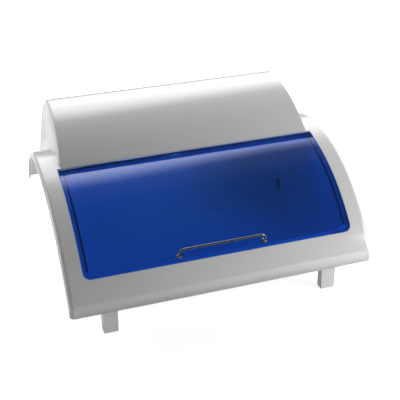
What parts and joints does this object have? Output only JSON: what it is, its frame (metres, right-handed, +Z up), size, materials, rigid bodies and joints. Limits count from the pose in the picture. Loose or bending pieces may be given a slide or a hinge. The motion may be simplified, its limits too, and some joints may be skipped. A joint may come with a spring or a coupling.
{
  "type": "uv sterilizer cabinet",
  "caption": "Countertop saddle-shaped cabinet with a top-hinged see-through door over a chamber lit by UV-C LEDs, for disinfecting salon tools.",
  "frame": {"origin": "centre of the footprint, at the underside of the foot pads", "axes": "+X to the cabinet's right as seen from its front, +Y to the rear, +Z up"},
  "size_m": [0.4, 0.312, 0.2175],
  "materials": {
    "white_abs": "gloss",
    "inner_white": "satin",
    "blue_acrylic": "clear gloss",
    "chrome": "polished",
    "steel": "satin",
    "black_foam": "matte",
    "black_plastic": "satin",
    "grey_plastic": "satin",
    "quartz": "clear",
    "aluminium": "satin",
    "circuit_board": "satin",
    "led_ceramic": "satin",
    "brass": "polished",
    "rubber": "matte"
  },
  "bodies": {
    "cabinet": {"outer_shell": "white_abs", "hinge_rod": "steel", "light_seal_left": "black_foam", "light_seal_right": "black_foam", "reed_switch": "black_plastic", "lamp_housing": "white_abs", "mains_inlet": "black_plastic", "inlet_pin_left": "brass", "inlet_pin_right": "brass", "switch_body": "black_plastic", "lamp_window": "quartz", "lamp_frame": "grey_plastic", "heat_sink": "aluminium", "led_board": "circuit_board", "uv_led_1": "led_ceramic", "uv_led_2": "led_ceramic", "uv_led_3": "led_ceramic", "uv_led_4": "led_ceramic", "uv_led_5": "led_ceramic", "led_driver": "grey_plastic", "chamber_tub": "inner_white", "base_housing": "inner_white", "foot_front_left": "white_abs", "foot_front_right": "white_abs", "foot_rear_left": "white_abs", "foot_rear_right": "white_abs", "foot_pad_front_left": "rubber", "foot_pad_front_right": "rubber", "foot_pad_rear_left": "rubber", "foot_pad_rear_right": "rubber", "base_screw_1": "steel", "base_screw_2": "steel", "base_screw_3": "steel", "base_screw_4": "steel", "housing_screw_1": "steel", "housing_screw_2": "steel", "housing_screw_3": "steel", "housing_screw_4": "steel"},
    "door": {"door_panel": "blue_acrylic", "door_handle": "chrome", "handle_nut_left": "steel", "handle_nut_right": "steel", "door_magnet": "steel"},
    "rocker": {"switch_rocker": "black_plastic"}
  },
  "joints": [
    {"name": "door_hinge", "type": "hinge", "parent": "cabinet", "child": "door", "pos_m": [0, -0.00169, 0.1654], "axis": [-1, 0, 0], "range_deg": [0, 120]},
    {"name": "mains_rocker", "type": "hinge", "parent": "cabinet", "child": "rocker", "pos_m": [0.118, 0.1487, 0.15497], "axis": [1, 0, 0], "range_deg": [0, 18]}
  ]
}
